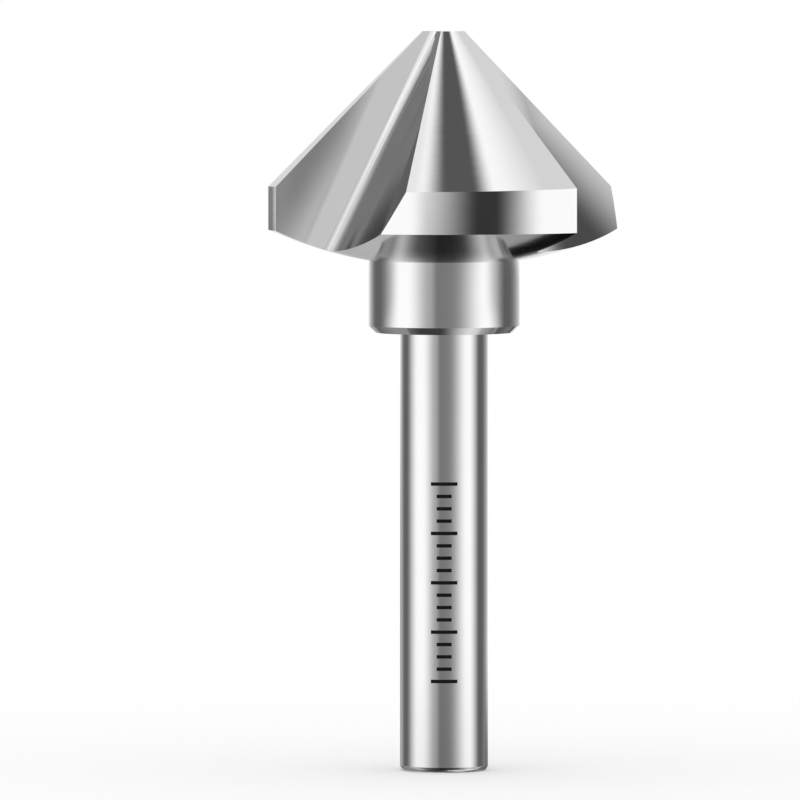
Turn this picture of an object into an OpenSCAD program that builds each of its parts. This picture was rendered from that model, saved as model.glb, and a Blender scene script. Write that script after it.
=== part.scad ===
// Three-flute countersink bit for bench and hand drills, ground from one bar of high-speed steel.
// The bit stands on the flat end of its shank with its tip up, and +Z runs along its axis.
// It cuts clockwise as seen from the shank, so each flute lies ahead of its cutting edge.

/* [Head] */
// Largest diameter of the cutting head
head_d = 40; // [34:1:46]
// Full angle of the cutting cone
cone_angle = 90; // [80:2:100]
// Diameter of the flat on the tip
tip_d = 5; // [4:0.5:7]
// Height of the cylindrical margin under the cone
margin_h = 5; // [4:0.1:7]
// Height of the domed back, from the margin down to the collar
back_h = 3.5; // [2.5:0.1:4.5]
// Radius of the dome in the back's section
dome_r = 45; // [35:5:90]

/* [Flutes] */
// Number of flutes around the axis
flutes = 3; // [3:1:4]
// Angle of the first cutting edge around the axis, from +X
first_edge = 198; // [0:1:359]
// Distance of the flute's root from the axis, at the tip
root_r = 1.1; // [0.8:0.1:1.8]
// Lean of the flute's root away from the axis
root_lean = 27; // [24:0.5:30]
// Radius that the grinding wheel leaves in the flute's root
root_fillet = 0.6; // [0.2:0.1:1]
// Fall of each cone land behind its cutting edge, measured at its heel
land_relief = 0.25; // [0.1:0.05:0.8]

/* [Collar] */
// Diameter of the collar under the head
collar_d = 17.2; // [14:0.2:20]
// Height of the collar
collar_h = 8.2; // [6:0.1:12]
// Chamfer on the collar's lower edge
collar_chamfer = 0.8; // [0.4:0.1:1.5]

/* [Shank] */
// Diameter of the shank that the chuck grips
shank_d = 10; // [8:0.5:12]
// Length of the shank below the collar
shank_l = 49.8; // [35:0.1:70]
// Radius on the edge of the shank's end
shank_round = 0.6; // [0.3:0.1:1]

/* [Hidden] */

$fn = 180;
// What a cutter reaches past the faces that it cuts
over = 2;
// Grinding stock that the cone keeps until its lands are relieved
cone_stock = 1;
// How far ahead of its cutting edge a land's grinding pass starts, inside the flute
relief_lead = 30;

head_r = head_d / 2;
tip_r = tip_d / 2;
collar_r = collar_d / 2;
shank_r = shank_d / 2;
half_angle = cone_angle / 2;
cone_h = (head_r - tip_r) / tan(half_angle);
head_h = cone_h + margin_h + back_h;

collar_z = shank_l;
back_z = collar_z + collar_h;
margin_z = back_z + back_h;
cone_z = margin_z + margin_h;
tip_z = cone_z + cone_h;
apex_z = tip_z + tip_r / tan(half_angle);

pitch = 360 / flutes;
// The heel wall meets the head's rim this far round from the cutting edge
heel_angle = acos((root_r + cone_h * tan(root_lean)) / head_r);
// The tilt of a land's cone that makes it fall by land_relief between the edge and the heel
relief_tilt = asin(land_relief * sin(cone_angle) / (head_d * sin(pitch - heel_angle)));
flute_l = head_h / cos(root_lean) + head_r;

// Section of the head from the axis outwards: cone with its stock, margin and domed back
module head_section() {
    chord = [collar_r - head_r, -back_h];
    inward = [chord.y, -chord.x] / norm(chord);
    dome_centre = [head_r, margin_z] + chord / 2 + inward * sqrt(pow(dome_r, 2) - pow(norm(chord) / 2, 2));
    intersection() {
        polygon([
            [0, back_z],
            [head_r, back_z],
            [head_r, cone_z + cone_stock / tan(half_angle)],
            [tip_r + cone_stock, tip_z],
            [0, tip_z]
        ]);
        translate(dome_centre) circle(r = dome_r, $fn = 720);
    }
}

// Section of the collar, chamfered underneath
module collar_section() {
    polygon([
        [0, collar_z],
        [collar_r - collar_chamfer, collar_z],
        [collar_r, collar_z + collar_chamfer],
        [collar_r, back_z + back_h / 2],
        [0, back_z + back_h / 2]
    ]);
}

// Section of the shank, with a rounded edge at its end
module shank_section() {
    square([shank_r - shank_round, collar_z + over]);
    translate([0, shank_round]) square([shank_r, collar_z + over - shank_round]);
    translate([shank_r - shank_round, shank_round]) circle(r = shank_round, $fn = 48);
}

// The turned blank, before its lands and flutes are ground
module blank() {
    rotate_extrude() head_section();
    rotate_extrude() collar_section();
    rotate_extrude() shank_section();
}

// Removes the stock outside one land's own cone, which leans back from the cutting edge on +X
module land_grind() {
    reach = 3 * head_r;
    low_z = cone_z - over;
    cone_l = apex_z - low_z + over;
    difference() {
        translate([0, 0, low_z]) linear_extrude(tip_z - low_z + over) polygon([
            [0, 0],
            reach * [cos(relief_lead - pitch), sin(relief_lead - pitch)],
            reach * [cos(relief_lead), sin(relief_lead)]
        ]);
        translate([0, 0, apex_z])
            rotate([relief_tilt, 0, 0])
            translate([0, 0, -cone_l])
            cylinder(h = cone_l, r1 = cone_l * tan(half_angle), r2 = 0);
    }
}

// Cuts one flute: a right-angled groove whose flat wall is the cutting face, in the plane y = 0
module flute_grind() {
    side = head_r + over;
    translate([root_r, 0, tip_z])
        rotate([0, -root_lean, 0])
        translate([0, 0, -flute_l])
        linear_extrude(flute_l + over) union() {
            translate([root_fillet, 0]) square([side, side]);
            translate([0, root_fillet]) square([side, side]);
            translate([root_fillet, root_fillet]) circle(r = root_fillet, $fn = 48);
        }
}

module countersink_bit() {
    color([0.78, 0.79, 0.8])
        difference() {
            blank();
            for (i = [0 : flutes - 1]) rotate([0, 0, first_edge + i * pitch]) {
                land_grind();
                flute_grind();
            }
        }
}

countersink_bit();
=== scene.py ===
import math

import bmesh
import bpy
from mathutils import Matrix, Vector


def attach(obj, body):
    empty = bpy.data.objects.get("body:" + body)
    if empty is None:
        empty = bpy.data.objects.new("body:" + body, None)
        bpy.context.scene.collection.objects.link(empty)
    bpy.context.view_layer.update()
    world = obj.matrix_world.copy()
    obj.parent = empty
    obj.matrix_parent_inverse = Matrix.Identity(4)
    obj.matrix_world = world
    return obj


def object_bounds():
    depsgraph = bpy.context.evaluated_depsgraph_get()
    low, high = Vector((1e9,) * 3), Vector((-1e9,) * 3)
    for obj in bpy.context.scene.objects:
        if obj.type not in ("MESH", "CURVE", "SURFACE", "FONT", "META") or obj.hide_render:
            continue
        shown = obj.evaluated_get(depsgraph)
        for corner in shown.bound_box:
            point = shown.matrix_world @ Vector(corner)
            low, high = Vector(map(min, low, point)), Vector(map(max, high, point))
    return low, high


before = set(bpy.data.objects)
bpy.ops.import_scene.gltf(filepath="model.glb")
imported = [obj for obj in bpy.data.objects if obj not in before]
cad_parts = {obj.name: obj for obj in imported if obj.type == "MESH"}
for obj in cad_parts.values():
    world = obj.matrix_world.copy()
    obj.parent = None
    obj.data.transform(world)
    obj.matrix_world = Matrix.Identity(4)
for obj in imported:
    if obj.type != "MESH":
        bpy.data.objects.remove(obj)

# Countersink bit: its one CAD node gets the ground steel, its shank gets etched ticks, and a light
# tent that only reflections see stands around it.

MM = 0.001
cad_low, cad_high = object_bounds()


# Driving sizes, in metres and radians, as the part's source has them
TIP_Z = cad_high.z
SHANK_R = 5 * MM
COLLAR_Z = 49.8 * MM
BACK_Z = COLLAR_Z + 8.2 * MM
MARGIN_Z = BACK_Z + 3.5 * MM
FLUTES = 3
FIRST_EDGE = math.radians(198)
ROOT_LEAN = math.radians(27)
ROOT_R = 1.1 * MM
PITCH = 2 * math.pi / FLUTES
UP = Vector((0, 0, 1))


# Small helpers

def slope(degrees):
    return math.tan(math.radians(degrees))


def new_object(name, data):
    item = bpy.data.objects.new(name, data)
    bpy.context.scene.collection.objects.link(item)
    return item


def mesh_object(name, fill, material):
    """Object whose mesh a function fills, with one material."""
    mesh = bpy.data.meshes.new(name)
    shell = bmesh.new()
    fill(shell)
    shell.to_mesh(mesh)
    shell.free()
    mesh.materials.append(material)
    return new_object(name, mesh)


class Graph:
    """Writes shader nodes as expressions: most methods return an output socket."""

    # Most of a noise lies between these values
    NOISE_LOW = 0.3
    NOISE_HIGH = 0.7

    def __init__(self, tree):
        self.tree = tree
        tree.nodes.clear()

    def add(self, kind, **settings):
        node = self.tree.nodes.new(kind)
        for name, value in settings.items():
            setattr(node, name, value)
        return node

    def feed(self, socket, value):
        if isinstance(value, bpy.types.NodeSocket):
            self.tree.links.new(value, socket)
        else:
            socket.default_value = value

    def math(self, operation, *values):
        node = self.add("ShaderNodeMath", operation=operation)
        for socket, value in zip(node.inputs, values):
            self.feed(socket, value)
        return node.outputs[0]

    def vector(self, operation, *values):
        node = self.add("ShaderNodeVectorMath", operation=operation)
        for socket, value in zip(node.inputs, values):
            self.feed(socket, value)
        return node.outputs["Value" if operation in ("DOT_PRODUCT", "LENGTH") else "Vector"]

    def scale(self, vector, factor):
        node = self.add("ShaderNodeVectorMath", operation="SCALE")
        self.feed(node.inputs[0], vector)
        self.feed(node.inputs["Scale"], factor)
        return node.outputs[0]

    def xyz(self, vector):
        node = self.add("ShaderNodeSeparateXYZ")
        self.feed(node.inputs[0], vector)
        return node.outputs

    def combine(self, x, y, z):
        node = self.add("ShaderNodeCombineXYZ")
        for socket, value in zip(node.inputs, (x, y, z)):
            self.feed(socket, value)
        return node.outputs[0]

    def step(self, value, low, high):
        """Smooth step from 0 at low to 1 at high."""
        node = self.add("ShaderNodeMapRange", interpolation_type="SMOOTHSTEP")
        for name, item in (("Value", value), ("From Min", low), ("From Max", high)):
            self.feed(node.inputs[name], item)
        return node.outputs[0]

    def below(self, value, low, high):
        """Smooth step from 1 at low to 0 at high."""
        return self.math("SUBTRACT", 1.0, self.step(value, low, high))

    def band(self, value, rise_from, rise_to, fall_from, fall_to):
        """1 between rise_to and fall_from, with soft edges outside them."""
        rise = self.step(value, rise_from, rise_to)
        return self.math("MULTIPLY", rise, self.below(value, fall_from, fall_to))

    def ramp(self, value, low, high, at_low, at_high):
        """Straight ramp between two values, held outside its range."""
        node = self.add("ShaderNodeMapRange")
        for socket, item in zip(node.inputs, (value, low, high, at_low, at_high)):
            self.feed(socket, item)
        return node.outputs[0]

    def tilt(self, value, ramp):
        """Slope of a tilt that runs between two angles, in degrees, over a range of a distance."""
        low, high, at_low, at_high = ramp
        return self.ramp(value, low, high, slope(at_low), slope(at_high))

    def noise(self, vector, scale):
        """Noise from 0 to 1 around 0.5."""
        node = self.add("ShaderNodeTexNoise")
        self.feed(node.inputs["Vector"], vector)
        node.inputs["Scale"].default_value = scale
        return node.outputs["Fac"]

    def vary(self, noise, at_low, at_high):
        """Value that a noise moves between two ends."""
        return self.ramp(noise, self.NOISE_LOW, self.NOISE_HIGH, at_low, at_high)

    def sway(self, noise, degrees):
        """Slope that a noise sways by this many degrees to both sides."""
        return self.math("MULTIPLY", self.math("SUBTRACT", noise, 0.5), 2 * slope(degrees))

    def mix(self, factor, a, b):
        """Number a where factor is 0 and b where it is 1."""
        return self.math("MULTIPLY_ADD", self.math("SUBTRACT", b, a), factor, a)

    def blend(self, factor, a, b):
        """Vector a where factor is 0 and b where it is 1."""
        node = self.add("ShaderNodeMix", data_type="VECTOR")
        for name, item in (("Factor_Float", factor), ("A_Vector", a), ("B_Vector", b)):
            socket = next(i for i in node.inputs if i.identifier == name)
            self.feed(socket, item)
        return next(o for o in node.outputs if o.identifier == "Result_Vector")

    def turn(self, vector, angle):
        """Vector turned about Z."""
        node = self.add("ShaderNodeVectorRotate", rotation_type="Z_AXIS")
        self.feed(node.inputs["Vector"], vector)
        self.feed(node.inputs["Angle"], angle)
        return node.outputs[0]

    def dim(self, light, shade, density):
        """Light behind a grey flag of this density, where shade is 1."""
        return self.math("MULTIPLY", light, self.math("MULTIPLY_ADD", shade, -density, 1.0))

    def surface(self, shader):
        self.tree.links.new(shader.outputs[0], self.add("ShaderNodeOutputMaterial").inputs["Surface"])


def new_material(name):
    material = bpy.data.materials.new(name)
    material.use_nodes = True
    return material, Graph(material.node_tree)


# Ground steel

# Radius in the flutes' roots, in millimetres
ROOT_FILLET = 0.6
# Tilts of the normal, in degrees, that stand for hollow grinding.  A ramp is: from and to, in
# millimetres, then the tilt at both ends.  On a flute's face: away from its wall, by the distance
# from the wall, and up along the root
FACE_TILT = (0.0, 8.0, 8.0, 0.0)
FACE_LIFT = 3.0
# On its wall: away from the face, by the distance from the face, all over and then near the root, and
# up along the root, by the distance from the tip
WALL_TILT = (4.0, 17.0, -4.0, 8.0)
WALL_ROOT = (0.6, 8.0, 19.0, 0.0)
WALL_LIFT = (12.0, 27.0, 0.0, -8.0)
# In its root: up along it, and away from the wall
ROOT_LIFT = 12.0
ROOT_TILT = 9.0
# Upward on the shank and collar, and on the margin
SHANK_LIFT = -1.5
MARGIN_LIFT = 0.8
# Outward from straight down on the domed back, by the radius
BACK_LEAN = (9.0, 20.0, 15.5, 21.2)

# Soft edges of the flutes' masks, from and to, in millimetres: off the exact surface, off the face,
# off the wall, off the root, and the wider reach of the root's lift over the face
FLUTE_MISS = (0.02, 0.06)
FACE_EDGE = (0.0, 0.4)
WALL_EDGE = (0.0, 0.2)
ROOT_EDGE = (0.6, 1.4)
ROOT_REACH = (0.6, 3.8)
# Soft edges of the other masks, by a share of the mesh's normal: along the exact one in a flute,
# upward and outward on the cone, downward on the back, and upward on upright skin
FLUTE_MATCH = (0.7, 0.9)
CONE_RISE = (0.5, 0.6, 0.8, 0.9)
CONE_OUTWARD = (0.5, 0.6)
BACK_RISE = (-0.85, -0.8)
UPRIGHT_RISE = (0.1, 0.2)
# The flat ends of the collar and shank also face down, so the back's mask starts above them, in metres
BACK_START = (BACK_Z - 1 * MM, BACK_Z - 0.5 * MM)

# Fine lines of the grinding: noise steps per millimetre across them, along them on the skin and in
# the flutes, steps that set one flute off from the next, and their sway in degrees
LINE_PITCH = 5.0
SKIN_STRETCH = 0.25
FLUTE_STRETCH = 0.12
FLUTE_OFFSET = 7.0
SKIN_LINES = 0.35
FLUTE_LINES = 0.2

# Roughness of the steel, and of the domed back by radius in millimetres, then its faint variation
ROUGHNESS = 0.06
BACK_ROUGHNESS = (11.5, 15.5, 0.15, 0.09)
ROUGHNESS_CLOUD = (0.85, 1.15)
# Both ends of the red, green and blue, and noise steps per metre
STEEL_COLOUR = ((0.905, 0.93), (0.908, 0.93), (0.912, 0.93))
CLOUD_SCALE = 180.0
# The sector of a flute starts this far ahead of its cutting edge
SECTOR_LEAD = math.radians(20)


def skin_surface(g, place, normal):
    """Normal and roughness of the turned skin: exact on the cone and the back, with lines around it."""
    x, y, z = g.xyz(place)
    flat_place = g.combine(x, y, 0.0)
    radius = g.math("MULTIPLY", g.vector("LENGTH", flat_place), 1 / MM)
    outward = g.vector("NORMALIZE", flat_place)
    rise = g.xyz(normal)[2]

    facing_out = g.step(g.vector("DOT_PRODUCT", normal, outward), *CONE_OUTWARD)
    on_cone = g.math("MULTIPLY", g.band(rise, *CONE_RISE), facing_out)
    skin = g.blend(on_cone, normal, g.scale(g.vector("ADD", outward, UP), math.sqrt(0.5)))

    on_back = g.math("MULTIPLY", g.below(rise, *BACK_RISE), g.step(z, *BACK_START))
    skin = g.blend(on_back, skin, g.vector("SUBTRACT", g.scale(outward, g.tilt(radius, BACK_LEAN)), UP))

    upright = g.below(g.math("ABSOLUTE", rise), *UPRIGHT_RISE)
    lift = g.ramp(z, BACK_Z, MARGIN_Z, slope(SHANK_LIFT), slope(MARGIN_LIFT))
    skin = g.vector("ADD", skin, g.scale(UP, g.math("MULTIPLY", upright, lift)))

    around = g.vector("CROSS_PRODUCT", UP, outward)
    across = g.math("MULTIPLY", g.math("SUBTRACT", g.math("MULTIPLY", z, 1 / MM), radius), LINE_PITCH)
    along_x, along_y = (g.math("MULTIPLY", way, SKIN_STRETCH / MM) for way in (x, y))
    lines = g.noise(g.combine(along_x, along_y, across), 1.0)
    skin = g.vector("ADD", skin, g.scale(around, g.sway(lines, SKIN_LINES)))
    return skin, g.mix(on_back, ROUGHNESS, g.ramp(radius, *BACK_ROUGHNESS))


def flute_surface(g, place, normal, sector):
    """Mask and normal of the first flute: exact on its face, root and wall, then tilted."""
    edge = Vector((math.cos(FIRST_EDGE), math.sin(FIRST_EDGE), 0))
    face = Vector((-math.sin(FIRST_EDGE), math.cos(FIRST_EDGE), 0))
    wall = math.cos(ROOT_LEAN) * edge + math.sin(ROOT_LEAN) * UP
    root = math.cos(ROOT_LEAN) * UP - math.sin(ROOT_LEAN) * edge
    local = g.vector("SUBTRACT", place, ROOT_R * edge + TIP_Z * UP)
    from_wall, from_face, along = (
        g.math("MULTIPLY", g.vector("DOT_PRODUCT", local, way), 1 / MM) for way in (wall, face, -root)
    )
    exact = g.vector(
        "ADD",
        g.scale(wall, g.math("MAXIMUM", g.math("SUBTRACT", ROOT_FILLET, from_wall), 0.0)),
        g.scale(face, g.math("MAXIMUM", g.math("SUBTRACT", ROOT_FILLET, from_face), 0.0)),
    )
    miss = g.math("ABSOLUTE", g.math("SUBTRACT", g.vector("LENGTH", exact), ROOT_FILLET))
    exact = g.vector("NORMALIZE", exact)
    match = g.vector("DOT_PRODUCT", normal, exact)
    on_flute = g.math("MULTIPLY", g.below(miss, *FLUTE_MISS), g.step(match, *FLUTE_MATCH))

    on_face = g.below(from_face, *FACE_EDGE)
    on_wall = g.below(from_wall, *WALL_EDGE)
    near_root = g.below(g.math("MAXIMUM", from_wall, from_face), *ROOT_EDGE)
    root_lift = g.mix(on_face, near_root, g.below(from_wall, *ROOT_REACH))
    lines = g.noise(g.combine(
        g.math("MULTIPLY", from_wall, LINE_PITCH),
        g.math("MULTIPLY", from_face, LINE_PITCH),
        g.math("MULTIPLY_ADD", along, FLUTE_STRETCH, g.math("MULTIPLY", sector, FLUTE_OFFSET)),
    ), 1.0)
    ground = exact
    for mask, tilt, direction in (
        (on_face, g.tilt(from_wall, FACE_TILT), wall),
        (on_face, slope(FACE_LIFT), root),
        (on_wall, g.tilt(from_face, WALL_TILT), face),
        (on_wall, g.tilt(from_face, WALL_ROOT), face),
        (on_wall, g.tilt(along, WALL_LIFT), root),
        (root_lift, slope(ROOT_LIFT), root),
        (g.math("MULTIPLY", near_root, on_face), slope(ROOT_TILT), wall),
        (on_face, g.sway(lines, FLUTE_LINES), wall),
        (on_wall, g.sway(lines, FLUTE_LINES), face),
    ):
        ground = g.vector("ADD", ground, g.scale(direction, g.math("MULTIPLY", mask, tilt)))
    return on_flute, ground


def steel_material():
    material, g = new_material("ground_steel")
    coordinate = g.add("ShaderNodeTexCoord")
    place, normal = coordinate.outputs["Object"], coordinate.outputs["Normal"]
    skin, roughness = skin_surface(g, place, normal)

    # All the flutes are shaded as the first one, turned there and back
    x, y = g.xyz(place)[:2]
    bearing = g.math("ARCTAN2", y, x)
    past_first = g.math("ADD", bearing, SECTOR_LEAD - FIRST_EDGE)
    sector = g.math("FLOOR", g.math("MULTIPLY", past_first, 1 / PITCH))
    angle = g.math("MULTIPLY", sector, PITCH)
    back = g.math("MULTIPLY", angle, -1.0)
    on_flute, ground = flute_surface(g, g.turn(place, back), g.turn(normal, back), sector)
    bent = g.vector("NORMALIZE", g.blend(on_flute, skin, g.turn(ground, angle)))
    to_world = g.add(
        "ShaderNodeVectorTransform", vector_type="NORMAL", convert_from="OBJECT", convert_to="WORLD"
    )
    g.feed(to_world.inputs[0], bent)

    cloud = g.noise(place, CLOUD_SCALE)
    shader = g.add("ShaderNodeBsdfPrincipled")
    g.feed(shader.inputs["Base Color"], g.combine(*[g.vary(cloud, *ends) for ends in STEEL_COLOUR]))
    shader.inputs["Metallic"].default_value = 1.0
    g.feed(shader.inputs["Roughness"], g.math("MULTIPLY", roughness, g.vary(cloud, *ROUGHNESS_CLOUD)))
    g.feed(shader.inputs["Normal"], to_world.outputs[0])
    g.surface(shader)
    return material


# Etched graduation

# Ticks, in metres: every fourth one is long, and each is sunk into the shank and a hair proud of it
TICKS = 17
TICK_GROUP = 4
TICK_LOW = 10.4 * MM
TICK_PITCH = 1.4 * MM
TICK_LONG = 3.0 * MM
TICK_SHORT = 1.7 * MM
TICK_WIDTH = 0.4 * MM
TICK_PROUD = 0.01 * MM
TICK_SUNK = 0.05 * MM
TICK_STEPS = 10
# The side that the camera sees
FRONT = math.radians(-90)

# Dull black with a fine grain: both ends of its colour and roughness, and noise steps per metre
MARK_COLOUR = (0.004, 0.01)
MARK_ROUGHNESS = (0.75, 0.9)
MARK_SPECULAR = 0.1
MARK_GRAIN = 9000.0


def etched_material():
    material, g = new_material("etched_mark")
    shader = g.add("ShaderNodeBsdfPrincipled")
    grain = g.noise(g.add("ShaderNodeTexCoord").outputs["Object"], MARK_GRAIN)
    g.feed(shader.inputs["Base Color"], g.combine(*[g.vary(grain, *MARK_COLOUR)] * 3))
    shader.inputs["Specular IOR Level"].default_value = MARK_SPECULAR
    g.feed(shader.inputs["Roughness"], g.vary(grain, *MARK_ROUGHNESS))
    g.surface(shader)
    return material


def add_tick(marks, middle, length):
    """One closed tick, bent around the shank."""
    half_angle = math.asin(length / 2 / SHANK_R)
    inner, outer = SHANK_R - TICK_SUNK, SHANK_R + TICK_PROUD
    low, high = middle - TICK_WIDTH / 2, middle + TICK_WIDTH / 2
    corners = ((inner, low), (outer, low), (outer, high), (inner, high))
    rings = []
    for step in range(TICK_STEPS + 1):
        angle = FRONT - half_angle + 2 * half_angle * step / TICK_STEPS
        x, y = math.cos(angle), math.sin(angle)
        rings.append([marks.verts.new((r * x, r * y, h)) for r, h in corners])
    for one, two in zip(rings, rings[1:]):
        for i in range(4):
            marks.faces.new((one[i], two[i], two[(i + 1) % 4], one[(i + 1) % 4]))
    marks.faces.new(rings[0])
    marks.faces.new(rings[-1][::-1])


def graduation():
    """Plain ticks in the place of the marking on the shank."""
    def fill(marks):
        for number in range(TICKS):
            length = TICK_LONG if number % TICK_GROUP == 0 else TICK_SHORT
            add_tick(marks, TICK_LOW + number * TICK_PITCH, length)
        bmesh.ops.recalc_face_normals(marks, faces=marks.faces)

    piece = mesh_object("etched_graduation", fill, etched_material())
    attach(piece, "root")


# Studio: white world, pale floor, and a light tent that only reflections see

TENT_R = 0.2
TENT_LOW = -0.3
TENT_HIGH = 0.35
TENT_SEGMENTS = 180
FLOOR_R = 4.0
FLOOR_SEGMENTS = 96

# Soft grey flags hang in front of the white tent.  Those of the wall have their edges in azimuth from
# the camera's side, in degrees, the drift of those edges with height, in degrees per millimetre, their
# edges in height, in millimetres, and their density.  Each edge is: rise from, rise to, fall from,
# fall to.  The comment says what mirrors the flag in the camera's view
WALL_LEVEL = 1.05
WALL_FLAGS = (
    ((-58, -19, 11, 61), 0.00, (-400, -300, 46, 50), 0.63),  # shank and collar, middle
    ((-22, -9, -8, 68), 0.00, (-400, -300, 38, 94), 0.50),  # shank, collar and margin, dark core
    ((68, 106, 113, 195), 0.00, (-55, -35, 46, 54), 0.89),  # shank and collar, right strip
    ((70, 92, 150, 190), 0.00, (-170, -130, -55, -35), 0.52),  # domed back, right
    ((108, 122, 136, 156), 0.00, (-170, -130, -55, -35), 0.60),  # domed back, right, next to the collar
    ((60, 80, 90, 110), 0.00, (35, 39, 48, 56), 0.30),  # collar, right
    ((90, 145, 200, 260), 0.00, (-400, -300, -170, -130), 0.94),  # collar's chamfer, right
    ((-180, -124, -115, -70), 0.00, (-55, -35, 47, 60), 0.88),  # shank and collar, left strip
    ((-175, -135, -108, -75), 0.00, (-400, -300, -55, -35), 0.74),  # domed back, left
    ((-115, -100, -92, -68), 0.00, (35, 39, 48, 56), 0.35),  # collar, left
    ((-21, 22, 31, 67), 0.00, (42, 47, 72, 79), 0.96),  # margin, dark middle
    ((-126, -44, 29, 120), 0.00, (-400, -300, -90, -2), 0.91),  # domed back, middle
    ((126, 142, 174, 192), 0.00, (-170, -130, -19, -3), 0.60),  # domed back, at the right flute
    ((-161, -155, -149, -132), 0.00, (-400, -300, -43, -20), 0.59),  # domed back and chamfer, far left
    ((148, 165, 185, 200), 0.00, (-76, -68, -34, 3), 0.99),  # dark wedge where the right flute leaves
    ((-200, -190, -157, -143), 0.00, (-400, -300, 4, 48), 0.55),  # domed back, at the left flute
    ((-4, 6, 54, 70), 0.00, (72, 78, 240, 290), 0.44),  # left flute's face
    ((23, 32, 45, 53), 0.00, (60, 86, 94, 114), 0.63),  # left flute's face, outer edge
    ((-46, -22, 1, 7), 0.00, (84, 136, 235, 262), 0.77),  # left flute's wall
    ((-46, -22, -18, -10), 0.00, (235, 262, 262, 285), 0.77),  # left flute's wall, near the tip
    ((-18, -12, -12, -7), 0.00, (97, 115, 150, 163), 0.84),  # left flute's wall, lower end
    ((-80, -45, 10, 24), 0.00, (225, 255, 335, 349), 0.28),  # left flute's root
    ((-152, -142, -120, -110), 0.00, (88, 104, 215, 240), 0.80),  # left flute's wall, tip and heel
    ((-152, -142, -120, -110), 0.00, (88, 104, 133, 145), 0.45),  # left flute's wall, heel
    ((-118, -100, -3, 17), 0.00, (99, 119, 300, 340), 0.17),  # left flute's wall and root
    ((76, 87, 105, 125), -0.15, (82, 96, 196, 242), 0.90),  # right flute's wall, dark lower part
    ((80, 90, 149, 175), 0.00, (82, 96, 380, 400), 0.33),  # right flute's wall, all of it
    ((-190, -180, -149, -144), 0.00, (75, 85, 157, 174), 0.31),  # left land, the strip beyond its edge
    ((-172, -162, -149, -136), 0.00, (51, 55, 68, 76), 0.79),  # margin of the left land
)
# Height at which a drifting flag has its azimuths, in millimetres
DRIFT_HEIGHT = 140
# Those of the top and of the base are bars that run front to back: their edges across, in
# millimetres, and their density
TOP_LEVEL = 1.05
TOP_FLAGS = (
    ((-46, 4, 52, 94), 0.91),
    ((73, 210, 300, 400), 0.36),
    ((-400, -300, -57, -30), 0.18),
)
BASE_LEVEL = 0.90
BASE_FLAGS = (
    ((-400, -100, -24, 169), 0.95),
    ((105, 210, 300, 400), 0.55),
)


def white_world():
    world = bpy.data.worlds.new("studio")
    bpy.context.scene.world = world
    world.use_nodes = True
    g = Graph(world.node_tree)
    background = g.add("ShaderNodeBackground")
    background.inputs["Color"].default_value = (1, 1, 1, 1)
    background.inputs["Strength"].default_value = 1.0
    g.tree.links.new(background.outputs[0], g.add("ShaderNodeOutputWorld").inputs["Surface"])


def tent_position(g):
    return g.xyz(g.add("ShaderNodeNewGeometry").outputs["Position"])


def glow(g, light):
    shader = g.add("ShaderNodeEmission")
    g.feed(shader.inputs["Strength"], light)
    g.surface(shader)


def wall_light():
    material, g = new_material("tent_wall")
    x, y, z = tent_position(g)
    azimuth = g.math("MULTIPLY", g.math("ARCTAN2", x, g.math("MULTIPLY", y, -1.0)), math.degrees(1))
    height = g.math("MULTIPLY", z, 1 / MM)
    light = WALL_LEVEL
    for around, drift, tall, density in WALL_FLAGS:
        side = azimuth
        if drift:
            side = g.math("MULTIPLY_ADD", height, -drift, g.math("ADD", azimuth, DRIFT_HEIGHT * drift))
        shade = g.math("MULTIPLY", g.band(side, *around), g.band(height, *tall))
        light = g.dim(light, shade, density)
    glow(g, light)
    return material


def cap_light(name, light, flags):
    material, g = new_material(name)
    across = g.math("MULTIPLY", tent_position(g)[0], 1 / MM)
    for edges, density in flags:
        light = g.dim(light, g.band(across, *edges), density)
    glow(g, light)
    return material


def tent_piece(name, fill, material):
    piece = mesh_object(name, fill, material)
    for ray in ("camera", "diffuse", "shadow", "transmission", "volume_scatter"):
        setattr(piece, "visible_" + ray, False)


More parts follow.
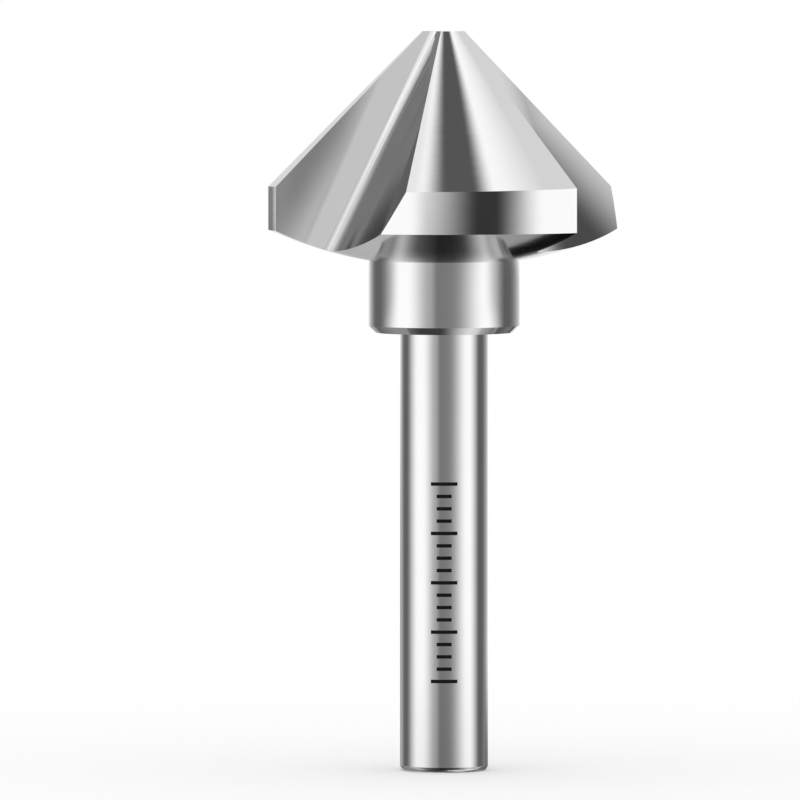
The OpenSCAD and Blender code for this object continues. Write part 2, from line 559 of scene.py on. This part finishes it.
def light_tent():
    def wall(shell):
        depth = TENT_HIGH - TENT_LOW
        bmesh.ops.create_cone(
            shell, cap_ends=False, segments=TENT_SEGMENTS, radius1=TENT_R, radius2=TENT_R, depth=depth
        )
        bmesh.ops.translate(shell, vec=(0, 0, (TENT_HIGH + TENT_LOW) / 2), verts=shell.verts)

    def disc(height):
        def fill(shell):
            bmesh.ops.create_circle(shell, cap_ends=True, segments=TENT_SEGMENTS, radius=TENT_R)
            bmesh.ops.translate(shell, vec=(0, 0, height), verts=shell.verts)
        return fill

    tent_piece("tent_wall", wall, wall_light())
    tent_piece("tent_top", disc(TENT_HIGH), cap_light("tent_top", TOP_LEVEL, TOP_FLAGS))
    tent_piece("tent_base", disc(TENT_LOW), cap_light("tent_base", BASE_LEVEL, BASE_FLAGS))


def floor():
    def fill(plane):
        bmesh.ops.create_circle(plane, cap_ends=True, segments=FLOOR_SEGMENTS, radius=FLOOR_R)

    material, g = new_material("floor_white")
    diffuse = g.add("ShaderNodeBsdfDiffuse")
    diffuse.inputs["Color"].default_value = (1, 1, 1, 1)
    g.surface(diffuse)
    plate = mesh_object("floor", fill, material)
    plate.visible_glossy = False


# Camera, at the photograph's angle and scale: the picture's width in pixels, a pixel at the bit in
# metres, the place of the picture's middle to the left of the axis, in pixels, and below the tip
PICTURE_WIDTH = 800
PIXEL = 1 / 8800
MIDDLE_LEFT = 44
MIDDLE_DROP = 41.9 * MM
CAMERA_DISTANCE = 1.2
CAMERA_ELEVATION = math.radians(2.7)
SENSOR_WIDTH = 36
CLIP_START = 0.01


def camera():
    data = bpy.data.cameras.new("camera")
    data.sensor_width = SENSOR_WIDTH
    data.lens = SENSOR_WIDTH * CAMERA_DISTANCE / (PICTURE_WIDTH * PIXEL)
    data.clip_start = CLIP_START
    view = new_object("camera", data)
    target = Vector((-MIDDLE_LEFT * PIXEL, 0, TIP_Z - MIDDLE_DROP))
    back = Vector((0, -math.cos(CAMERA_ELEVATION), math.sin(CAMERA_ELEVATION)))
    view.location = target + back * CAMERA_DISTANCE
    view.rotation_euler = back.to_track_quat("Z", "Y").to_euler()
    bpy.context.scene.camera = view


steel = steel_material()
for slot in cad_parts["countersink_bit"].material_slots:
    slot.material = steel
bpy.context.scene.view_settings.view_transform = "Standard"
graduation()
white_world()
light_tent()
floor()
camera()
